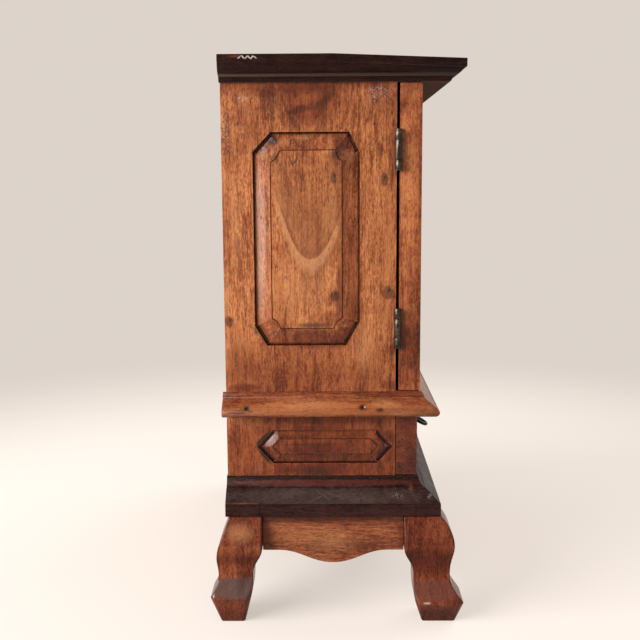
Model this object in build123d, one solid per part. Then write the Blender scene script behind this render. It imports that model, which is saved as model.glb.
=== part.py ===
from build123d import *
import math
import os

# Tabletop cabinet: a two-door cupboard over one wide drawer, on a low stand with
# four cabriole legs.  Millimetres.  +Z is up, the doors face -Y and +X is to the
# right of someone facing them.  The origin is under the middle of the whole
# cabinet, on the surface that it stands on.

# ---------------------------------------------------------------- driving sizes
# Heights, from the floor up
leg_h = 67.6                # floor to the underside of the stand's frame
frame_t = 8.4               # flat frame that joins the legs
base_t = 14.4               # moulded base board
drawer_space_h = 41.0       # between the base board and the waist
waist_h = 14.8              # waist moulding
cupboard_h = 192.9          # between the waist and the top board
top_t = 15.8                # moulded top board, at its thickest

# Case
case_w = 240.0              # over the side boards
case_d = 108.4              # front edge to back edge of a side board
side_t = 13.0
back_t = 5.0
back_rebate = 6.0           # how far the back panel is let into each side board
divider_t = 10.0            # floor of the cupboard
shelf_t = 8.0
shelf_setback = 8.0         # behind the front edges of the side boards
shelf_height = 93.0         # cupboard floor to the shelf's underside
housing = 3.0               # depth of the grooves that hold the floor and the shelf

# Mouldings: how far each one stands out from the face it goes round
base_proj = 14.4
base_back_over = 0.6
waist_proj = 11.8
waist_back_over = 2.0
top_side_over = 2.0         # underside of the top board, past the side boards
top_front_over = 17.0       # underside of the top board, past the doors
top_proj = 8.5              # moulded edge of the top board, past its underside
top_flat = 70.0             # level part of the top, from its back edge
top_fall = 3.2              # how much lower the planed-off front edge is
fillet_h = 5.0              # plain band at the top of its edge
fillet_over = 0.7           # band past the moulding under it

# Doors and hinges
door_t = 13.6
door_gap = 2.0              # between a door and the case, filled by the hinge leaves
door_play = 0.6             # above and below a door
door_meet = 1.0             # between the two doors
hinge_len = 25.4
hinge_end = 27.6            # end of a door to the near end of its hinge
knuckle_r = 2.2
knuckle_mid = 12.2          # length of the middle knuckle
knuckle_play = 0.15         # between knuckles, end to end
hinge_pin_r = 0.8
hinge_fit = 0.04            # pin in knuckle, on the radius
leaf_t = 0.9
leaf_w = 9.0                # from the outside of the case inwards
leaf_relief = 0.3           # leaf edge clear of the other leaf's knuckle

# Drawer
drawer_front_t = 13.6
drawer_gap = 0.5            # behind the drawer front
drawer_play = 0.6           # above and below the drawer front
drawer_side_play = 0.6      # each side of the drawer box
drawer_floor_play = 0.3     # under the drawer box
drawer_back_room = 6.0      # behind the drawer box
drawer_top_room = 2.0       # above the drawer box
drawer_side_t = 8.0
drawer_back_t = 7.0
drawer_bottom_t = 3.5
drawer_bottom_up = 3.2      # underside of the bottom, above the box's lower edge
drawer_groove = 3.0         # depth of the groove for the bottom

# Carved panels
carve_depth = 2.6
low_carve_depth = 1.5       # of the low panels beside the drawer and on its front
carve_relief = 1.1          # extra depth along the clipped corners
relief_w = 2.2
scribe_w = 0.7              # scribed line round the raised field
scribe_depth = 0.6
panel_w = 66.4              # upper panel of a side board
panel_h = 133.4
panel_clip = 11.8           # cut-off corners of a door's panel
panel_band = 11.0           # bevel between the outline and the field
field_clip = 6.0
field_bite = 1.2            # how far a corner of the field is hollowed
# A side board's corners are cut by eye, no two alike: (across, up), from the back
# top corner over the top to the front, down and back
side_panel_clips = [(11.2, 12.0), (6.5, 12.5), (8.5, 15.0), (7.5, 12.8)]
side_field_clips = [(6.0, 7.6), (3.8, 7.0), (5.4, 6.5), (5.2, 6.4)]
panel_back_margin = 19.2    # back edge of the side board to the panel
panel_top_margin = 29.7     # underside of the top board to the panel
low_panel_w = 87.0          # pointed panel beside the drawer
low_panel_h = 22.3
low_panel_back_margin = 19.8
low_panel_up = 8.2          # base board to the panel
low_point = 10.0            # length of its pointed ends
low_band_w = 9.6
low_band_h = 6.1
door_stile = 22.0           # plain border beside a door's panel
drawer_panel_margin = 18.0
drawer_panel_h = 29.0
drawer_point = 13.0

# Stand
rail_front_w = 15.9
rail_back_w = 22.1
rail_side_w = 22.0
leg_top_in = 23.5           # inner faces of a leg's top, behind the frame's edge
knee_end_z = 47.0           # lower end of those faces
ankle_z = 31.0
inner_ankle = 17.6          # inner faces further down, behind the frame's edge
inner_foot = 16.4
inner_sole = 12.2
# Outer faces of a leg, measured out past the frame's edge; each lean is how far they
# go out for each millimetre down at the top
side_top = -0.5
side_lean = 0.45
side_knee = 7.0
side_knee_z = 49.0
side_ankle = 4.8
side_foot = 11.5
side_sole = 6.0
front_top = 0.4
front_lean = 1.0
front_knee = 8.4
front_knee_z = 51.0
front_ankle = 5.6
front_foot = 14.2
front_sole = 9.0
front_foot_z = 13.6         # break between a front leg's slope and its foot block
back_top = -2.2
back_lean = 0.33
back_knee = 5.6
back_knee_z = 39.0
back_ankle = 4.6
back_foot = 9.6
back_sole = 3.2
back_foot_z = 17.5
foot_cut = 2.6              # taken off the corners of a foot at its break
sole_cut = 0.8
apron_inset = 2.5
apron_t = 10.0
apron_end_h = 23.2
apron_drop = 8.4            # middle of the apron, below its ends
apron_flat = 10.0           # straight stretch at each end
apron_play = 0.1            # between an apron and a leg
front_apron_flat = 22.0

# Ring pulls
pull_x = 60.0               # drawer pulls, each side of the middle
pull_up = 22.6              # drawer pull's pivot, above the drawer front's lower edge
door_pull_in = 10.0         # door pulls, from the meeting edge
rose_r = 6.0
rose_t = 0.6
eye_wire_r = 0.6
eye_hole_r = 1.5
staple_r = 0.5
staple_hole_play = 0.05
clinch_len = 6.0
ring_r = 4.87               # to the middle of the ring's wire
ring_wire_r = 1.2
drawer_ring_lift = 62.0     # degrees that a drawer ring stands up from hanging

# ---------------------------------------------------------------- derived places
frame_z = leg_h
base_z = frame_z + frame_t
base_top = base_z + base_t
waist_z = base_top + drawer_space_h
waist_top = waist_z + waist_h
soffit_z = waist_top + cupboard_h

side_x = case_w / 2
inside_x = side_x - side_t

# Distances ahead of the case's front edge, and behind it, set the middle in Y
door_face = door_gap + door_t
drawer_face = drawer_gap + drawer_front_t
base_face = drawer_face + base_proj
front_reach = max(base_face + front_foot, door_face + top_front_over + top_proj)
back_reach = case_d + base_back_over + back_foot
y_case = (front_reach - back_reach) / 2
y_back = y_case + case_d
y_panel = y_back - back_t
y_door_back = y_case - door_gap
y_door = y_case - door_face
y_drawer_back = y_case - drawer_gap
y_drawer = y_case - drawer_face
y_base = y_case - base_face
y_base_back = y_back + base_back_over
base_x = side_x + base_proj

door_w = side_x - door_meet / 2
door_bottom = waist_top + door_play
door_top = soffit_z - door_play
door_mid = (door_bottom + door_top) / 2
hinge_x = side_x + knuckle_r
hinge_y = y_case - door_gap / 2

MIRROR = Plane.YZ


# ---------------------------------------------------------------- shared forms
def block(x0, x1, y0, y1, z0, z1):
    """A rectangular board between two corners."""
    middle = ((x0 + x1) / 2, (y0 + y1) / 2, (z0 + z1) / 2)
    return Pos(*middle) * Box(abs(x1 - x0), abs(y1 - y0), abs(z1 - z0))


def rod(x, y, z0, z1, radius):
    """A round bar along Z."""
    return Pos(x, y, (z0 + z1) / 2) * Cylinder(radius, z1 - z0)


def side_plane(x, y, z):
    """Looks at a right-hand side: local x runs out to +X, local y up, normal -Y."""
    return Plane(origin=(x, y, z), x_dir=(1, 0, 0), z_dir=(0, -1, 0))


def front_plane(x, y, z):
    """Local x runs out to -Y, local y up, normal -X."""
    return Plane(origin=(x, y, z), x_dir=(0, -1, 0), z_dir=(-1, 0, 0))


def moulded_face(plane, steps, inner):
    """Section of a moulded edge: steps are (x, y) for a line, (mx, my, x, y) for an arc."""
    start = steps[0]
    with BuildSketch(plane) as section:
        with BuildLine():
            here = start
            for step in steps[1:]:
                if len(step) == 4:
                    ThreePointArc(here, step[:2], step[2:])
                else:
                    Line(here, step)
                here = step[-2:]
            for corner in ((-inner, here[1]), (-inner, start[1]), start):
                if math.dist(here, corner) > 0:
                    Line(here, corner)
                here = corner
        make_face()
    return section.sketch


def moulded_board(steps, x_face, y_face, y_end, z):
    """A board with the same moulding on its front and both sides, and a plain back."""
    run = y_end - y_face + 2 * max(step[-2] for step in steps)
    half = extrude(moulded_face(side_plane(x_face, y_end, z), steps, x_face), run)
    sides = half + mirror(half, MIRROR)
    span = 2 * x_face + 4 * max(step[-2] for step in steps)
    front = extrude(moulded_face(front_plane(span / 2, y_face, z), steps, y_end - y_face), span)
    return sides & front


def clipped_outline(width, height, clips):
    """A rectangle with its corners cut off; cut to half its height it gets pointed ends."""
    u, v = width / 2, height / 2
    signs = ((1, 1), (-1, 1), (-1, -1), (1, -1))
    points = []
    for (su, sv), (clip_w, clip_h) in zip(signs, clips):
        pair = [(su * u, sv * (v - clip_h)), (su * (u - clip_w), sv * v)]
        points += pair if su == sv else pair[::-1]
    return points


def outline_face(plane, points, bite=0.0):
    """Closed outline; each second edge, from the first point on, is hollowed by bite."""
    with BuildSketch(plane) as section:
        with BuildLine():
            for i, start in enumerate(points):
                end = points[(i + 1) % len(points)]
                if i % 2 == 0 and bite > 0:
                    middle = (Vector(*start) + Vector(*end)) / 2
                    ThreePointArc(start, middle - middle.normalized() * bite, end)
                elif math.dist(start, end) > 0:
                    Line(start, end)
        make_face()
    return section.sketch


def carved_panel(plane, width, height, clips, band, inner_clips, sink=carve_depth, bite=0.0):
    """Tool that sinks a bevelled panel with a raised field into the face at the plane.

    Each clip, and band, is an (across, up) pair, and the plane's normal points out.
    """
    field_w, field_h = width - 2 * band[0], height - 2 * band[1]
    outer = clipped_outline(width, height, clips)
    inner = clipped_outline(field_w, field_h, inner_clips)
    sunk = plane.offset(-sink)
    pocket = extrude(outline_face(sunk, outer), sink)
    field = outline_face(plane, inner, bite)
    island = loft([outline_face(sunk, outer), field], ruled=True)
    tool = pocket - island

    low = plane.offset(-scribe_depth)
    ring_out, ring_in = (
        offset(outline_face(low, inner, bite), amount, kind=Kind.INTERSECTION)
        for amount in (scribe_w / 2, -scribe_w / 2)
    )
    tool += extrude(ring_out, scribe_depth) - extrude(ring_in, scribe_depth)

    depth = sink + carve_relief
    for i in range(0, len(outer), 2):
        start, end = Vector(*outer[i]), Vector(*outer[i + 1])
        along = end - start
        inward = Vector(-along.Y, along.X).normalized()
        middle = (start + end) / 2 + inward * relief_w / 2
        turn = math.degrees(math.atan2(along.Y, along.X))
        cut = Pos(middle.X, middle.Y, -depth / 2) * Rot(0, 0, turn)
        tool += plane * cut * Box(along.length - relief_w, relief_w, depth)
    return tool


# ---------------------------------------------------------------- mouldings
TOP_EDGE = [
    (0.0, 0.0),
    (1.1, 2.9),
    (1.9, 3.3),
    (6.3, 6.1, top_proj - fillet_over, 10.2),
    (top_proj - fillet_over, top_t - fillet_h),
]

BASE_EDGE = [
    (base_proj, 0.0),
    (5.4, 7.8),
    (4.5, 8.0),
    (2.2, 10.4, 1.0, base_t - 0.8),
    (1.0, base_t),
]

WAIST_EDGE = [
    (0.0, 0.0),
    (waist_proj - 3.4, 0.0),
    (waist_proj - 1.0, 1.0, waist_proj, 3.4),
    (waist_proj - 0.7, 5.0, waist_proj - 2.2, 6.2),
    (2.6, 11.2),
    (2.3, 13.0, 0.8, waist_h),
    (0.0, waist_h),
]


# ---------------------------------------------------------------- case
def top_board():
    """The top and the band round it are level at the back and fall to the front."""
    x_face, y_face = side_x + top_side_over, y_door - top_front_over
    board = moulded_board(TOP_EDGE, x_face, y_face, y_base_back, soffit_z)
    x_edge, y_edge = x_face + top_proj, y_face - top_proj
    top = [(y_base_back, top_t), (y_base_back - top_flat, top_t), (y_edge, top_t - top_fall)]
    band = top + [(y, z - fillet_h) for y, z in reversed(top)]
    end = Plane(origin=(-x_edge, 0, soffit_z), x_dir=(0, 1, 0), z_dir=(1, 0, 0))
    return board + extrude(outline_face(end, band), 2 * x_edge)


def base_board():
    return moulded_board(BASE_EDGE, side_x, y_drawer, y_base_back, base_z)


def waist_side():
    """Right-hand strip, mitred at its front end."""
    y_start = y_back + waist_back_over
    run = y_start - y_door + waist_proj
    strip = extrude(moulded_face(side_plane(side_x, y_start, waist_z), WAIST_EDGE, 0), run)
    mitre = Plane(origin=(side_x, y_door, 0), z_dir=(1, 1, 0))
    return split(strip, bisect_by=mitre, keep=Keep.TOP)


def waist_front():
    """Deep front piece: its flat top passes under the doors and its nose is mitred."""
    span = case_w + 2 * waist_proj
    nose = extrude(moulded_face(front_plane(span / 2, y_door, waist_z), WAIST_EDGE, 0), span)
    for side in (1, -1):
        mitre = Plane(origin=(side * side_x, y_door, 0), z_dir=(-side, -1, 0))
        nose = split(nose, bisect_by=mitre, keep=Keep.TOP)
    return nose + block(-side_x, side_x, y_door, y_case, waist_z, waist_top)


def shelf_levels():
    """Lower and upper face of the cupboard's floor and of its shelf."""
    shelf_z = waist_top + shelf_height
    return (waist_top - divider_t, waist_top), (shelf_z, shelf_z + shelf_t)


def right_side():
    board = block(inside_x, side_x, y_case, y_back, base_top, soffit_z)
    board -= block(inside_x, inside_x + back_rebate, y_panel, y_back, base_top, soffit_z)
    floor, shelf = shelf_levels()
    board -= block(inside_x, inside_x + housing, y_case, y_panel, *floor)
    board -= block(inside_x, inside_x + housing, y_case + shelf_setback, y_panel, *shelf)

    across = (0, 1, 0)
    upper = Plane(
        origin=(
            side_x,
            y_back - panel_back_margin - panel_w / 2,
            soffit_z - panel_top_margin - panel_h / 2,
        ),
        x_dir=across,
        z_dir=(1, 0, 0),
    )
    board -= carved_panel(
        upper,
        panel_w,
        panel_h,
        side_panel_clips,
        (panel_band, panel_band),
        side_field_clips,
        bite=field_bite,
    )
    lower = Plane(
        origin=(
            side_x,
            y_back - low_panel_back_margin - low_panel_w / 2,
            base_top + low_panel_up + low_panel_h / 2,
        ),
        x_dir=across,
        z_dir=(1, 0, 0),
    )
    field_half = low_panel_h / 2 - low_band_h
    board -= carved_panel(
        lower,
        low_panel_w,
        low_panel_h,
        [(low_point, low_panel_h / 2)] * 4,
        (low_band_w, low_band_h),
        [(field_half, field_half)] * 4,
        low_carve_depth,
    )
    return board


def back_panel():
    x = inside_x + back_rebate
    return block(-x, x, y_panel, y_back, base_top, soffit_z)


def waist_board():
    x = inside_x + housing
    return block(-x, x, y_case, y_panel, *shelf_levels()[0])


def shelf():
    x = inside_x + housing
    return block(-x, x, y_case + shelf_setback, y_panel, *shelf_levels()[1])


# ---------------------------------------------------------------- stand
def frame_rails():
    """Front and back rails run the full width; the side rails butt between them."""
    y_front_joint = y_base + rail_front_w
    y_back_joint = y_base_back - rail_back_w
    z = (frame_z, base_z)
    right = block(base_x - rail_side_w, base_x, y_front_joint, y_back_joint, *z)
    return {
        "frame_front_rail": block(-base_x, base_x, y_base, y_front_joint, *z),
        "frame_back_rail": block(-base_x, base_x, y_back_joint, y_base_back, *z),
        "frame_right_rail": right,
        "frame_left_rail": mirror(right, MIRROR),
    }


def leg_section(plane, top, lean, knee, knee_z, ankle, foot, sole, foot_z):
    """Cabriole outline; local x is the distance out past the frame's edge."""
    with BuildSketch(plane) as section:
        with BuildLine():
            Spline(
                (top, leg_h),
                (knee, knee_z),
                (ankle, ankle_z),
                tangents=[(lean, -1), (0, -1)],
            )
            Spline((ankle, ankle_z), (foot, foot_z), tangents=[(0, -1), (1, -1.5)])
            Line((foot, foot_z), (sole, 0))
            Line((sole, 0), (-inner_sole, 0))
            Line((-inner_sole, 0), (-inner_foot, foot_z))
            Spline((-inner_foot, foot_z), (-inner_ankle, ankle_z), tangents=[(-0.3, 1), (0, 1)])
            Spline((-inner_ankle, ankle_z), (-leg_top_in, knee_end_z), tangents=[(0, 1), (-0.2, 1)])
            Line((-leg_top_in, knee_end_z), (-leg_top_in, leg_h))
            Line((-leg_top_in, leg_h), (top, leg_h))
        make_face()
    return section.sketch


def corner_cut(signs, path):
    """Wedge that takes the sharpness off a vertical corner; path is (x, y, z, cut) going up."""
    sx, sy = signs
    clear = foot_cut
    slices = []
    for x, y, z, cut in path:
        far = cut + clear
        corners = [(sx * clear, sy * clear), (-sx * far, sy * clear), (sx * clear, -sy * far)]
        slices.append(outline_face(Plane(origin=(x, y, z)), corners))
    return loft(slices, ruled=True)


def right_leg(front):
    """The same blank sawn on two faces: one outline seen from the side, one from the front."""
    if front:
        facing, y_edge, foot_z = -1, y_base, front_foot_z
        outline = (front_top, front_lean, front_knee, front_knee_z, front_ankle, front_foot, front_sole)
    else:
        facing, y_edge, foot_z = 1, y_base_back, back_foot_z
        outline = (back_top, back_lean, back_knee, back_knee_z, back_ankle, back_foot, back_sole)
    side_outline = (side_top, side_lean, side_knee, side_knee_z, side_ankle, side_foot, side_sole)

    reach = side_foot + leg_top_in
    from_side = Plane(
        origin=(base_x - facing * 2 * reach, y_edge, 0), x_dir=(0, facing, 0), z_dir=(facing, 0, 0)
    )
    seen_from_side = extrude(leg_section(from_side, *outline, foot_z), 4 * reach)
    from_front = side_plane(base_x, y_edge + 2 * reach, 0)
    seen_from_front = extrude(leg_section(from_front, *side_outline, foot_z), 4 * reach)
    leg = seen_from_side & seen_from_front

    across = {1: tuple(reversed(side_outline[-3:])), -1: (-inner_sole, -inner_foot, -inner_ankle)}
    along = {1: tuple(reversed(outline[-3:])), -1: across[-1]}
    levels = (0, foot_z, ankle_z)
    cuts = (sole_cut, foot_cut, 0)
    for sx in (1, -1):
        for sy in (1, -1):
            xs = [base_x + out for out in across[sx]]
            ys = [y_edge + facing * out for out in along[sy]]
            leg -= corner_cut((sx, sy * facing), list(zip(xs, ys, levels, cuts)))
    return leg


def apron(plane, length, flat):
    """Board with a shaped lower edge that hangs down in the middle."""
    half = length / 2
    end_z, mid_z = -apron_end_h, -(apron_end_h + apron_drop)
    with BuildSketch(plane) as section:
        with BuildLine():
            for s in (-1, 1):
                Line((s * half, 0), (s * half, end_z))
                Line((s * half, end_z), (s * (half - flat), end_z))
                Spline(
                    (s * (half - flat), end_z),
                    (0, mid_z),
                    tangents=[(-s, 0), (-s, 0)],
                )
            Line((-half, 0), (half, 0))
        make_face()
    return extrude(section.sketch, -apron_t)


def aprons():
    leg_in = leg_top_in + apron_play
    width = 2 * (base_x - leg_in)
    depth = y_base_back - y_base - 2 * leg_in
    y_mid = (y_base_back + y_base) / 2
    y_front, y_rear = y_base + apron_inset, y_base_back - apron_inset
    front = Plane(origin=(0, y_front, leg_h), x_dir=(1, 0, 0), z_dir=(0, -1, 0))
    back = Plane(origin=(0, y_rear, leg_h), x_dir=(-1, 0, 0), z_dir=(0, 1, 0))
    right = Plane(origin=(base_x - apron_inset, y_mid, leg_h), x_dir=(0, 1, 0), z_dir=(1, 0, 0))
    side = apron(right, depth, apron_flat)
    return {
        "front_apron": apron(front, width, front_apron_flat),
        "back_apron": apron(back, width, front_apron_flat),
        "right_apron": side,
        "left_apron": mirror(side, MIRROR),
    }


# ---------------------------------------------------------------- doors and hinges
def right_door():
    x0 = door_meet / 2
    board = block(x0, side_x, y_door, y_door_back, door_bottom, door_top)
    board -= Pos(x0 + door_pull_in, (y_door + y_door_back) / 2, door_mid) * Rot(90, 0, 0) * Cylinder(
        staple_r + staple_hole_play, door_t
    )
    panel_z = soffit_z - panel_top_margin - panel_h / 2
    face = Plane(
        origin=((x0 + side_x) / 2, y_door, panel_z), x_dir=(1, 0, 0), z_dir=(0, -1, 0)
    )
    return board - carved_panel(
        face,
        door_w - 2 * door_stile,
        panel_h,
        [(panel_clip, panel_clip)] * 4,
        (panel_band, panel_band),
        [(field_clip, field_clip)] * 4,
        bite=field_bite,
    )


def right_hinge(z0):
    """Case leaf with the two end knuckles, door leaf with the middle one, and the pin."""
    z1 = z0 + hinge_len
    mid0 = (z0 + z1 - knuckle_mid) / 2
    mid1 = mid0 + knuckle_mid
    play = knuckle_play / 2
    x_in = side_x - leaf_w
    bore = rod(hinge_x, hinge_y, z0, z1, hinge_pin_r + hinge_fit)
    clear_r = knuckle_r + leaf_relief

    case_leaf = block(x_in, hinge_x, y_case - leaf_t, y_case, z0, z1)
    case_leaf -= rod(hinge_x, hinge_y, mid0 - play, mid1 + play, clear_r)
    case_leaf += rod(hinge_x, hinge_y, z0, mid0 - play, knuckle_r)
    case_leaf += rod(hinge_x, hinge_y, mid1 + play, z1, knuckle_r)

    door_leaf = block(x_in, hinge_x, y_door_back, y_door_back + leaf_t, z0, z1)
    door_leaf -= rod(hinge_x, hinge_y, z0, mid0 + play, clear_r)
    door_leaf -= rod(hinge_x, hinge_y, mid1 - play, z1, clear_r)
    door_leaf += rod(hinge_x, hinge_y, mid0 + play, mid1 - play, knuckle_r)

    pin = rod(hinge_x, hinge_y, z0, z1, hinge_pin_r)
    return case_leaf - bore, door_leaf - bore, pin


# ---------------------------------------------------------------- drawer
drawer_x = inside_x - drawer_side_play
drawer_z = base_top + drawer_floor_play
drawer_box_top = waist_z - drawer_top_room
drawer_end = y_panel - drawer_back_room
drawer_bottom_z = drawer_z + drawer_bottom_up
drawer_front_z = (base_top + drawer_play, waist_z - drawer_play)
drawer_pull_z = drawer_front_z[0] + pull_up


def drawer_front():
    board = block(-side_x, side_x, y_drawer, y_drawer_back, *drawer_front_z)
    groove_top = drawer_bottom_z + drawer_bottom_t
    x = drawer_x - drawer_side_t + drawer_groove
    board -= block(-x, x, y_drawer_back - drawer_groove, y_drawer_back, drawer_bottom_z, groove_top)
    middle = sum(drawer_front_z) / 2
    face = Plane(origin=(0, y_drawer, middle), x_dir=(1, 0, 0), z_dir=(0, -1, 0))
    field_half = drawer_panel_h / 2 - low_band_h
    board -= carved_panel(
        face,
        case_w - 2 * drawer_panel_margin,
        drawer_panel_h,
        [(drawer_point, drawer_panel_h / 2)] * 4,
        (low_band_w, low_band_h),
        [(field_half, field_half)] * 4,
        low_carve_depth,
    )
    for side in (1, -1):
        hole = Pos(side * pull_x, (y_drawer + y_drawer_back) / 2, drawer_pull_z) * Rot(90, 0, 0)
        board -= hole * Cylinder(staple_r + staple_hole_play, drawer_front_t)
    return board


def drawer_right_side():
    x0, x1 = drawer_x - drawer_side_t, drawer_x
    board = block(x0, x1, y_drawer_back, drawer_end, drawer_z, drawer_box_top)
    groove_top = drawer_bottom_z + drawer_bottom_t
    return board - block(
        x0, x0 + drawer_groove, y_drawer_back, drawer_end, drawer_bottom_z, groove_top
    )


def drawer_back():
    """Stands on the bottom board, between the sides."""
    x = drawer_x - drawer_side_t
    z0 = drawer_bottom_z + drawer_bottom_t
    return block(-x, x, drawer_end - drawer_back_t, drawer_end, z0, drawer_box_top)


def drawer_bottom():
    x = drawer_x - drawer_side_t + drawer_groove
    y0 = y_drawer_back - drawer_groove
    z1 = drawer_bottom_z + drawer_bottom_t
    return block(-x, x, y0, drawer_end, drawer_bottom_z, z1)


# ---------------------------------------------------------------- ring pulls
def ring_pull(x, y_face, z, board_t, lift):
    """Round plate, wire eye clinched behind the board, and a ring turned up by lift degrees."""
    eye_out = eye_hole_r + 2 * eye_wire_r
    pivot_y = y_face - rose_t - eye_out
    rose = Pos(x, y_face - rose_t / 2, z) * Rot(90, 0, 0) * Cylinder(rose_r, rose_t)
    rose -= Pos(x, y_face - rose_t / 2, z) * Rot(90, 0, 0) * Cylinder(
        staple_r + staple_hole_play, rose_t
    )
    rose = chamfer(rose.edges().group_by(Axis.Y)[0].sort_by(SortBy.RADIUS)[-1], rose_t * 0.6)

    eye = Pos(x, pivot_y, z) * Rot(0, 90, 0) * Torus(eye_hole_r + eye_wire_r, eye_wire_r)
    shank_0 = pivot_y + eye_hole_r + eye_wire_r
    shank_1 = y_face + board_t + eye_wire_r
    eye += Pos(x, (shank_0 + shank_1) / 2, z) * Rot(90, 0, 0) * Cylinder(staple_r, shank_1 - shank_0)
    eye += Pos(x, shank_1, z) * Cylinder(eye_wire_r, 2 * clinch_len)

    turn = math.radians(lift)
    centre = (x, pivot_y - ring_r * math.sin(turn), z - ring_r * math.cos(turn))
    ring = Pos(*centre) * Rot(90 - lift, 0, 0) * Torus(ring_r, ring_wire_r)
    return rose, eye, ring


# ---------------------------------------------------------------- all the pieces
def pair(nodes, name, right):
    """Adds the right-hand piece and its mirror image on the left."""
    nodes["right_" + name] = right
    nodes["left_" + name] = mirror(right, MIRROR)


def build_nodes():
    nodes = {
        "top_board": top_board(),
        "base_board": base_board(),
        "back_panel": back_panel(),
        "waist_board": waist_board(),
        "waist_front": waist_front(),
        "shelf": shelf(),
    }
    pair(nodes, "side", right_side())
    pair(nodes, "waist", waist_side())
    nodes.update(frame_rails())
    nodes.update(aprons())
    pair(nodes, "front_leg", right_leg(True))
    pair(nodes, "back_leg", right_leg(False))

    pair(nodes, "door", right_door())
    levels = {"lower": door_bottom + hinge_end, "upper": door_top - hinge_end - hinge_len}
    pins = []
    for level, z0 in levels.items():
        case_leaf, door_leaf, pin = right_hinge(z0)
        pair(nodes, level + "_case_leaf", case_leaf)
        pair(nodes, level + "_door_leaf", door_leaf)
        pins.append(pin)
    pair(nodes, "hinge_pins", Compound(children=pins))

    nodes["drawer_front"] = drawer_front()
    nodes["drawer_back"] = drawer_back()
    nodes["drawer_bottom"] = drawer_bottom()
    pair(nodes, "drawer_side", drawer_right_side())

    x = door_meet / 2 + door_pull_in
    pulls = {
        "door": ring_pull(x, y_door, door_mid, door_t, 0),
        "drawer": ring_pull(pull_x, y_drawer, drawer_pull_z, drawer_front_t, drawer_ring_lift),
    }
    for place, pieces in pulls.items():
        for piece, shape in zip(("rose", "eye", "ring"), pieces):
            pair(nodes, place + "_pull_" + piece, shape)
    return nodes


os.makedirs("parts", exist_ok=True)
for name, shape in build_nodes().items():
    shape.label = name
    export_step(shape, os.path.join("parts", name + ".step"))
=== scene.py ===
import math

import bpy
from mathutils import Matrix, Vector


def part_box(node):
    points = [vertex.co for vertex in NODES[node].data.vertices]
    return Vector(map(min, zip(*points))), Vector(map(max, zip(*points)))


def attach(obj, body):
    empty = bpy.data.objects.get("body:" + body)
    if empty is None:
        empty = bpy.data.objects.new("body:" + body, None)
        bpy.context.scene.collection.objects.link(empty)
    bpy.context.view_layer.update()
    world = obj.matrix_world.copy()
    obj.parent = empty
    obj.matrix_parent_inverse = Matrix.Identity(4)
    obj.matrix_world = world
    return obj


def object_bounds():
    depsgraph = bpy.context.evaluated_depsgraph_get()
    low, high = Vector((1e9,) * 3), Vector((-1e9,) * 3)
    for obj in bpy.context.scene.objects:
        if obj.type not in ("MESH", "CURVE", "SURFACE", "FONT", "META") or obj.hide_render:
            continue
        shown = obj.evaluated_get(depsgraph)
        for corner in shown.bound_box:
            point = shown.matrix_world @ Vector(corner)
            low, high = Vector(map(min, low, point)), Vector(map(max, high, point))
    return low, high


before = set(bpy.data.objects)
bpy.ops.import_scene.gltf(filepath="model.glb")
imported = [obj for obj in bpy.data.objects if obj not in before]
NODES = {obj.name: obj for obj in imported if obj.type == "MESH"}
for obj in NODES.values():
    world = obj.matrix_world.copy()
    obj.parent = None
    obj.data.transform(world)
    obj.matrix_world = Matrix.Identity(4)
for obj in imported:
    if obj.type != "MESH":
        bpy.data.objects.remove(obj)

cad_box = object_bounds()

# The desktop cabinet stands on z = 0 with its doors towards -Y.  The camera looks at its
# left side, along +X, so the left of the picture is +Y.  Blender's lengths are metres;
# places and sizes of marks, screws and nails are in millimetres.

MM = 0.001


# ------------------------------------------------------------------ camera
CAMERA_PLACE = Vector((-708.99, 4.54, 280.80)) * MM
CAMERA_YAW = 0.0093         # radians, from +X towards +Y
CAMERA_DIP = 0.149          # radians, below the horizon
CAMERA_ROLL = -0.0058
SENSOR = 36.0
FOCAL_PIXELS = 940.69
PICTURE = 640               # pixels across
CLIP_START = 0.01


def make_camera():
    forward = Vector((
        math.cos(CAMERA_YAW) * math.cos(CAMERA_DIP),
        math.sin(CAMERA_YAW) * math.cos(CAMERA_DIP),
        -math.sin(CAMERA_DIP),
    ))
    right = forward.cross(Vector((0, 0, 1))).normalized()
    up = right.cross(forward)
    turn = Matrix.Rotation(-CAMERA_ROLL, 3, forward)
    axes = Matrix((turn @ right, turn @ up, -forward)).transposed()
    lens = bpy.data.cameras.new("camera")
    lens.sensor_width = SENSOR
    lens.lens = FOCAL_PIXELS * SENSOR / PICTURE
    lens.clip_start = CLIP_START
    camera = bpy.data.objects.new("camera", lens)
    camera.matrix_world = Matrix.Translation(CAMERA_PLACE) @ axes.to_4x4()
    bpy.context.scene.collection.objects.link(camera)
    bpy.context.scene.camera = camera


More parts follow.
